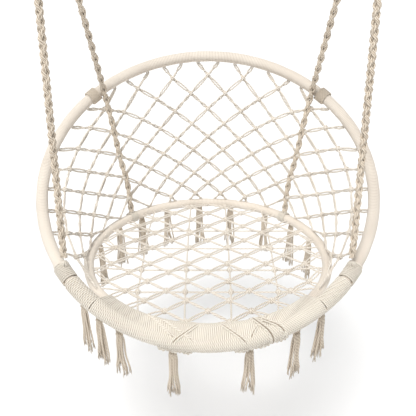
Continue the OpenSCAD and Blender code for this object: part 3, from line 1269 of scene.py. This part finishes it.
@dataclass
class SeatNet:
    """The flat net of diamonds and squares that fills the seat hoop."""

    seat: Hoop
    cord: float = 0.0040
    pair_gap: float = 0.0032
    tie_gap: float = 0.0060
    knot: float = 0.0058
    row: float = 0.0375
    column: float = 0.094
    rows: int = 15
    columns: int = 19
    # A span between two knots that is shorter than this is laid straight.
    short_span: float = 0.016
    # Heights of the square grid's cords and of its knots; it lies just below the slanting cords.
    cross_row_lift: float = -0.0040
    cross_column_lift: float = -0.0044
    cross_knot_lift: float = -0.003
    cross_rows: tuple[float, ...] = (-0.150, -0.060, 0.040, 0.130)
    cross_columns: tuple[float, ...] = (-0.160, -0.052, 0.052, 0.160)

    def at(self, x: float, y: float, lift: float = 0.0) -> Vector:
        """Return a point of the seat hoop's plane."""
        return self.seat.middle + self.seat.turned(Vector((x, y, lift)))

    @property
    def rim(self) -> float:
        """Radius at which the cords turn down over the hoop."""
        return self.seat.radius - self.seat.wrap_radius

    def clip(self, ax: float, ay: float, bx: float, by: float) -> list[tuple[float, float]]:
        """Return the part of a flat line inside the hoop's middle line, or nothing."""
        a = Vector((ax, ay))
        d = Vector((bx, by)) - a
        r = self.seat.radius
        dd = d.dot(d)
        ad = a.dot(d)
        root = ad * ad - dd * (a.dot(a) - r * r)
        if root <= 0:
            return []
        low = max(0.0, (-ad - math.sqrt(root)) / dd)
        high = min(1.0, (-ad + math.sqrt(root)) / dd)
        if high <= low:
            return []
        return [tuple(a + d * low), tuple(a + d * high)]

    def tie(self, x: float, y: float, shift: float) -> list[Vector]:
        """Take a cord's end up to the hoop and in under its wrapping.

        Args:
            x: Flat place where the cord crosses the hoop's middle line.
            y: The same, towards the back.
            shift: Distance along the hoop from that place.

        Returns:
            Two points, the first just inside the hoop and the last under its wrapping.
        """
        angle = math.degrees(math.atan2(x, y) + shift / self.seat.radius)
        return [self.seat.skin(angle, 178, self.seat.wrap_radius + r) for r in (0.004, -0.003)]

    def lay(
        self, start: tuple[float, float], end: tuple[float, float], knots: list, lift: float, pair: bool
    ) -> list[Cord]:
        """Lay a cord, or a pair of them, across the net.

        Args:
            start: Flat point on the hoop's middle line.
            end: The other such point.
            knots: Flat points between them where the cords are drawn together.
            lift: Height above the net's middle plane.
            pair: Whether there are two cords side by side.

        Returns:
            The cords.
        """
        flat = Vector((end[0] - start[0], end[1] - start[1])).normalized()
        wide = Vector((-flat.y, flat.x))
        turn_way = 1 if wide.x * start[1] - wide.y * start[0] > 0 else -1
        result = []
        for half in (-1, 1) if pair else (0,):
            shift = half * self.tie_gap * turn_way
            points = list(reversed(self.tie(*start, shift)))
            stops = [points[-1]]
            stops += [self.at(x, y, lift + 0.0010 * half) for x, y in knots]
            last = self.tie(*end, -shift)
            stops.append(last[0])
            side = self.seat.turned(Vector((wide.x, wide.y, 0))) * (half * self.pair_gap)
            for i, (a, b) in enumerate(zip(stops, stops[1:])):
                if i:
                    points.append(a)
                if (b - a).length > self.short_span:
                    points.append(mix(a, b, 0.3) + side * 0.8)
                    points.append(mix(a, b, 0.7) + side * 0.8)
            points += last
            result.append(Cord(smooth_line(points, 0.008), self.cord / 2))
        return result

    def build(self, material: bpy.types.Material) -> None:
        """Lay the slanting cords, the square grid and the knots."""
        cords: list[Cord] = []
        places: dict[tuple[int, int], tuple[float, float]] = {}
        half_rows = self.rows // 2
        half_columns = self.columns // 2
        for row in range(-half_rows, half_rows + 1):
            for col in range(-half_columns, half_columns + 1):
                if (row + col) % 2:
                    continue
                x = col * self.column / 2
                y = row * self.row
                if math.hypot(x, y) < self.rim - 0.012:
                    places[(row, col)] = (x, y)
        for slope in (-1, 1):
            for offset in range(-2 * half_columns, 2 * half_columns + 1, 2):
                inner = [k for k in places if k[1] - slope * k[0] == offset]
                inner.sort()
                far = half_rows + 3
                ends = self.clip(
                    (offset - slope * far) * self.column / 2,
                    -far * self.row,
                    (offset + slope * far) * self.column / 2,
                    far * self.row,
                )
                if ends and inner:
                    cords += self.lay(ends[0], ends[1], [places[k] for k in inner], 0.0, True)
        for y in self.cross_rows:
            ends = self.clip(-1, y, 1, y)
            knots = [(x, y) for x in self.cross_columns]
            cords += self.lay(ends[0], ends[1], knots, self.cross_row_lift, False)
        for x in self.cross_columns:
            ends = self.clip(x, -1, x, 1)
            knots = [(x, y) for y in self.cross_rows]
            cords += self.lay(ends[0], ends[1], knots, self.cross_column_lift, False)
        up = self.seat.axis
        for x, y in places.values():
            cords += knot_cords(self.at(x, y), up, Vector((1, 0.6, 0)), Vector((1, -0.6, 0)), self.knot)
        ahead = Vector((0, 1, 0))
        sideways = Vector((1, 0, 0))
        for y in self.cross_rows:
            for x in self.cross_columns:
                cords += knot_cords(self.at(x, y, self.cross_knot_lift), up, sideways, ahead, self.knot)
        piece = cord_piece("seat_net_cords", cords)
        place_piece(piece, material, "net_cotton", SWING, "seat_net")


# ---------------------------------------------------------------- binding at the front


@dataclass
class FrontBinding:
    """The cord that binds the two hoops together at the front, and its crossing lashings."""

    outer: Hoop
    seat: Hoop
    start: float = 142.0
    hitch_end: float = 130.8
    cord: float = 0.0041
    gap: float = 0.0009
    lashing: float = 0.0024
    # Each crossing's angle on the outer hoop, and how far it leans round the seat hoop.
    right_crossings: tuple[tuple[float, float], ...] = (
        (158.3, 6.0),
        (161.7, 4.0),
        (165.5, -5.0),
        (170.3, 5.8),
    )
    left_crossings: tuple[tuple[float, float], ...] = ((186.0, 9.0), (189.0, -6.0), (192.0, 8.0))
    arc_points: int = 12

    @property
    def ratio(self) -> float:
        """Seat hoop angle that goes with one degree of the outer hoop."""
        return self.outer.radius / self.seat.radius

    def outline(self, angle: float, grow: float, lean: float = 0.0) -> list[Vector]:
        """Return a long round outline about both hoops.

        Args:
            angle: Angle round the outer hoop.
            grow: Distance outside the hoops' wrappings.
            lean: Degrees by which the seat hoop's side runs ahead.

        Returns:
            Points of the closed outline, the outer hoop's side first.
        """
        signed = past_front(angle)
        front = -HALF_TURN if signed < 0 else HALF_TURN
        high = self.outer.point(signed)
        seat_angle = front - (front - signed) * self.ratio + lean
        low = self.seat.point(seat_angle)
        wide = unit(high - low)
        thick = unit(self.outer.along(signed).cross(wide))
        result = []
        for centre, reach, first in (
            (high, self.outer.wrap_radius + grow, -90),
            (low, self.seat.wrap_radius + grow, 90),
        ):
            for k in range(self.arc_points + 1):
                t = math.radians(first + HALF_TURN * k / self.arc_points)
                result.append(centre + (wide * math.cos(t) + thick * math.sin(t)) * reach)
        return result

    def build_windings(self, material: bpy.types.Material) -> None:
        """Wind the binding round both hoops, turn beside turn."""
        sweep = FULL_TURN - 2 * self.start
        turns = int(math.radians(sweep) * self.outer.radius / (self.cord * 0.97))
        cords = []
        chance = random.Random(7)
        for i in range(turns + 1):
            angle = self.start + sweep * i / turns
            grow = self.gap + self.cord / 2 + chance.uniform(-0.0003, 0.0002)
            cords.append(Cord(self.outline(angle, grow), self.cord / 2, closed=True))
        for side in Side:
            line = even_line(on_side(self.hoop_turns(), side), 0.003)
            cords.append(Cord(line, self.cord / 2))
        crossings = (*self.right_crossings, *self.left_crossings)
        cords += self.crossing_cords(crossings, self.cord, (-0.52, 0.52))
        piece = cord_piece("front_binding_cords", cords)
        place_piece(piece, material, "binding_cotton", SWING, "front_binding")

    def hoop_turns(self) -> list[Vector]:
        """Wind the binding's cord on round the outer hoop alone, from the front hitch to the binding."""
        turns = round(math.radians(self.start - self.hitch_end) * self.outer.radius / self.cord)
        reach = self.outer.wrap_radius + self.gap + self.cord / 2
        return self.outer.coil(self.hitch_end, self.start, turns, reach, 30.0)

    def build_lashings(self, finishes: Finishes) -> None:
        """Cross each lashing over the binding, and plait its spare cord below the hoop."""
        grow = self.gap + self.cord + self.lashing / 2
        plans = (
            ("left_lashing", (185.0, 195.0), self.left_crossings),
            ("right_lashing", (156.0, 172.0), self.right_crossings),
        )
        for node, ends, crossings in plans:
            # The crossing cords take the dark lashing finish: painted shade for the shadowed gaps in the
            # binding.
            piece = cord_piece(node + "_cords", self.crossing_cords(crossings, self.lashing, (0.0,)))
            place_piece(piece, finishes.lashing, "rope_cotton", SWING, node)
            piece = cord_piece(node + "_plait", self.tail(*ends, grow))
            place_piece(piece, finishes.binding, "binding_cotton", SWING)

    def crossing_cords(
        self, crossings: Sequence[tuple[float, float]], size: float, beside: Sequence[float]
    ) -> list[Cord]:
        """Lay closed cords slantwise over the binding.

        Args:
            crossings: Each crossing's angle on the outer hoop and its lean.
            size: Diameter of each cord.
            beside: Degrees by which the cords lie beside each crossing.

        Returns:
            The cords.
        """
        grow = self.gap + self.cord + self.lashing * 0.3
        result = []
        for angle, lean in crossings:
            for shift in beside:
                loop = self.outline(angle + shift, grow, lean)
                result.append(Cord(smooth_line(loop, 0.005, closed=True), size / 2, closed=True))
        return result

    def tail(self, low: float, high: float, grow: float) -> list[Cord]:
        """Plait the lashing's spare cord along the underside of the outer hoop.

        Args:
            low: Angle of the outer hoop at which the plait starts.
            high: Angle at which it ends.
            grow: Distance of its middle from the outer hoop's wrapping.

        Returns:
            The plait's cords.
        """
        count = 24
        line = []
        for i in range(count + 1):
            angle = low + (high - low) * i / count
            turn = -42 + 8 * math.sin(i * 0.7)
            line.append(self.outer.skin(past_front(angle), turn, self.outer.wrap_radius + grow))
        plait = Plait(width=0.015, depth=0.010, repeat=0.028)
        return plait.cords(even_line(smooth_line(line, 0.003), 0.003), self.outer.axis)

    def build(self, finishes: Finishes) -> None:
        """Build the windings and the lashings."""
        self.build_windings(finishes.binding)
        self.build_lashings(finishes)


# ---------------------------------------------------------------- tassels


@dataclass
class Tassels:
    """The frayed bundles of cord that hang from both hoops."""

    outer: Hoop
    seat: Hoop
    cord: float = 0.0042
    spread: float = 0.025
    # Cords of a tassel, and the frayed threads at the end of each.
    cord_counts: tuple[int, ...] = (9, 10, 11)
    threads: int = 6
    thread_radius: float = 0.0010
    # Shares of its length at which a cord leaves the knot, bends and starts to fray.
    neck: float = 0.15
    bend: float = 0.5
    fray: float = 0.82
    knot_radius: float = 0.0033
    knot_cord: float = 0.0019
    knot_turns: int = 4
    knot_spacing: float = 0.0038
    seat_count: int = 11
    front_count: int = 7

    def knot_place(self, node: str) -> Vector:
        """Return the middle of a tassel's knot, at the top of its box."""
        low, high = (Vector(corner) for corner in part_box(node))
        return Vector(((low.x + high.x) / 2, (low.y + high.y) / 2, high.z - 0.005))

    def strands(self, node: str, hoop: Hoop, chance: random.Random) -> list[Cord]:
        """Hang the tassel's cords from its knot, spreading a little towards frayed ends.

        Args:
            node: The tassel's CAD node.
            hoop: The hoop it hangs from.
            chance: Source of its small differences.

        Returns:
            Its cords, with a wrapped knot at the top.
        """
        low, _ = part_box(node)
        top = self.knot_place(node)
        flat = top - hoop.middle
        level = unit(Vector((-flat.y, flat.x, 0)))
        outward = unit(Vector((flat.x, flat.y, 0)))
        length = top.z - low[2]
        result = []
        count = chance.choice(self.cord_counts)
        halves = (chance.uniform(-0.004, -0.001), chance.uniform(0.001, 0.004))
        for k in range(count):
            share = (k + 0.5) / count - 0.5
            row = 1 if k % 2 else -1
            wide = self.spread * share
            own = length * chance.uniform(0.80, 0.99)
            drift = halves[0 if share < 0 else 1] + chance.uniform(-0.002, 0.002)
            sway = chance.uniform(-0.0030, 0.0030)
            depth = row * 0.0026 + chance.uniform(-0.0015, 0.0015)
            down = Vector((0, 0, -own))
            line = [
                top + level * (wide * 0.60),
                top + level * (wide * 0.72) + outward * depth + down * self.neck,
                top + level * (wide * 0.85 + sway) + outward * depth * 1.2 + down * self.bend,
                top + level * (wide + drift) + outward * depth * 1.4 + down * self.fray,
            ]
            fray = line[-1]
            result.append(Cord(smooth_line(line, 0.009), self.cord / 2))
            for _ in range(self.threads):
                tip = fray + down * ((1 - self.fray) * chance.uniform(0.7, 1.0))
                tip += level * chance.uniform(-0.0035, 0.0035) + outward * chance.uniform(-0.003, 0.003)
                start = fray + level * chance.uniform(-0.0012, 0.0012) + Vector((0, 0, 0.003))
                middle = mix(start, tip, 0.5) + level * chance.uniform(-0.001, 0.001)
                thread = smooth_line([start, middle, tip], 0.008)
                result.append(Cord(thread, self.thread_radius, thin_end=0.4))
        return result + self.knot(top, level)

    def knot(self, top: Vector, level: Vector) -> list[Cord]:
        """Wrap the tassel's head with turns of its own cord."""
        up = Vector((0, 0, 1))
        out = level.cross(up)
        result = []
        high = up * self.knot_radius
        deep = out * self.knot_radius
        for k in range(self.knot_turns):
            centre = top + level * ((k - (self.knot_turns - 1) / 2) * self.knot_spacing)
            result.append(Cord(ring_points(centre, high, deep, 10), self.knot_cord, closed=True))
        return result

    def hanging_cords(self, node: str, hoop: Hoop, reach: float) -> list[Cord]:
        """Carry the tassel's cords from the hoop's underside down to its knot.

        Args:
            node: The tassel's CAD node.
            hoop: The hoop it hangs from.
            reach: Distance below the hoop's middle at which the cords come out.

        Returns:
            The short cords.
        """
        top = self.knot_place(node)
        flat = top - hoop.middle
        angle = math.degrees(math.atan2(flat.x, flat.y / math.cos(math.radians(hoop.tilt))))
        along = hoop.along(angle)
        level = unit(Vector((along.x, along.y, 0)))
        result = []
        for k in range(4):
            x = (k - 1.5) * self.cord * 1.05
            start = hoop.point(angle) + along * x - Vector((0, 0, reach))
            result.append(Cord(smooth_line([start, top + level * x * 0.9], 0.005), self.cord / 2))
        return result

    def build(self, finishes: Finishes) -> None:
        """Build every tassel on its own body, and the loops that hold them on the hoops."""
        loops: list[Cord] = []
        groups = (
            ("seat_tassel", self.seat_count, self.seat),
            ("front_tassel", self.front_count, self.outer),
        )
        for word, count, hoop in groups:
            for i in range(1, count + 1):
                node = f"{word}_{i}"
                chance = random.Random(100 * count + i)
                piece = cord_piece(node + "_cords", self.strands(node, hoop, chance))
                place_piece(piece, finishes.tassel, "tassel_cotton", node, node)
                loops += self.hanging_cords(node, hoop, hoop.wrap_radius - 0.003)
        piece = cord_piece("tassel_hangers", loops)
        place_piece(piece, finishes.tassel, "tassel_cotton", SWING)


# ---------------------------------------------------------------- stage


@dataclass(frozen=True)
class Stage:
    """The camera, the floor and the lights."""

    place: tuple[float, float, float] = (0.0, -1.229, -0.155)
    look_down: float = 31.6
    lens: float = 51.92
    floor_drop: float = 0.35
    floor_half: float = 30.0
    sun_energy: float = 2.7
    sun_spread: float = 28.0
    sun_heading: tuple[float, float, float] = (0.22, 0.42, -1.2)
    room_strength: float = 0.52

    def set_camera(self) -> None:
        """Put the camera in front of the swing, looking down into the seat."""
        data = bpy.data.cameras.new("view")
        data.lens = self.lens
        data.sensor_width = 36.0
        data.clip_start = 0.01
        camera = bpy.data.objects.new("view", data)
        camera.location = self.place
        camera.rotation_euler = (math.radians(90 - self.look_down), 0, 0)
        bpy.context.scene.collection.objects.link(camera)
        bpy.context.scene.camera = camera

    def lay_floor(self) -> None:
        """Lay a wide pale floor below the tassels."""
        low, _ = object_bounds()
        floor = bmesh.new()
        bmesh.ops.create_grid(floor, x_segments=1, y_segments=1, size=self.floor_half)
        bmesh.ops.translate(floor, verts=floor.verts[:], vec=(0, 0, low[2] - self.floor_drop))
        mesh = bpy.data.meshes.new("floor")
        floor.to_mesh(mesh)
        floor.free()
        piece = bpy.data.objects.new("floor", mesh)
        bpy.context.scene.collection.objects.link(piece)
        nodes = Nodes("floor_white")
        place = nodes.add("ShaderNodeTexCoord").outputs["Object"]
        color = nodes.blend(nodes.noise(place, 1.5, 2.0), (0.90, 0.90, 0.905), (0.93, 0.93, 0.93), 0.3, 0.7)
        nodes.join(color, nodes.shader.inputs["Base Color"])
        nodes.shader.inputs["Roughness"].default_value = 0.95
        nodes.shader.inputs["Specular IOR Level"].default_value = 0.0
        mesh.materials.append(nodes.material)
        piece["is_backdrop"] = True

    def light(self) -> None:
        """Light the swing softly from above and the front, in a pale room."""
        sun = bpy.data.lights.new("sun", "SUN")
        sun.energy = self.sun_energy
        sun.angle = math.radians(self.sun_spread)
        sun.color = (1.0, 0.99, 0.97)
        lamp = bpy.data.objects.new("sun", sun)
        lamp.rotation_euler = Vector(self.sun_heading).to_track_quat("-Z", "Y").to_euler()
        bpy.context.scene.collection.objects.link(lamp)
        world = bpy.data.worlds.new("room")
        world.use_nodes = True
        back = world.node_tree.nodes["Background"]
        back.inputs["Color"].default_value = (0.98, 0.99, 1.0, 1.0)
        back.inputs["Strength"].default_value = self.room_strength
        bpy.context.scene.world = world
        bpy.context.scene.view_settings.view_transform = "Standard"

    def build(self) -> None:
        """Set the floor and the lights."""
        self.lay_floor()
        self.light()


def main() -> None:
    """Build the stage and every piece of the swing."""
    logging.basicConfig(level=logging.INFO, format="%(name)s: %(message)s")
    stage = Stage()
    stage.set_camera()
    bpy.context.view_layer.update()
    outer = Hoop.from_node("outer_hoop_wrapping", back_up=True)
    seat = Hoop.from_node("seat_hoop_wrapping", back_up=False)
    log.info("outer hoop %s", outer)
    log.info("seat hoop %s", seat)
    finishes = Finishes.make()
    Ropes(outer, seat).build(finishes)
    WrappedHoop(outer, "outer_hoop_wrapping").build(finishes.wrapping)
    WrappedHoop(seat, "seat_hoop_wrapping", sides=14).build(finishes.wrapping)
    BackNet(outer, seat).build(finishes.net)
    SeatNet(seat).build(finishes.net)
    FrontBinding(outer, seat).build(finishes)
    Tassels(outer, seat).build(finishes)
    for node in ("left_hang_ring", "right_hang_ring"):
        dress_node(node, finishes.ring)
    for node in ("outer_hoop_tube", "seat_hoop_tube"):
        dress_node(node, finishes.tube)
    stage.build()


if __name__ == "__main__":
    main()
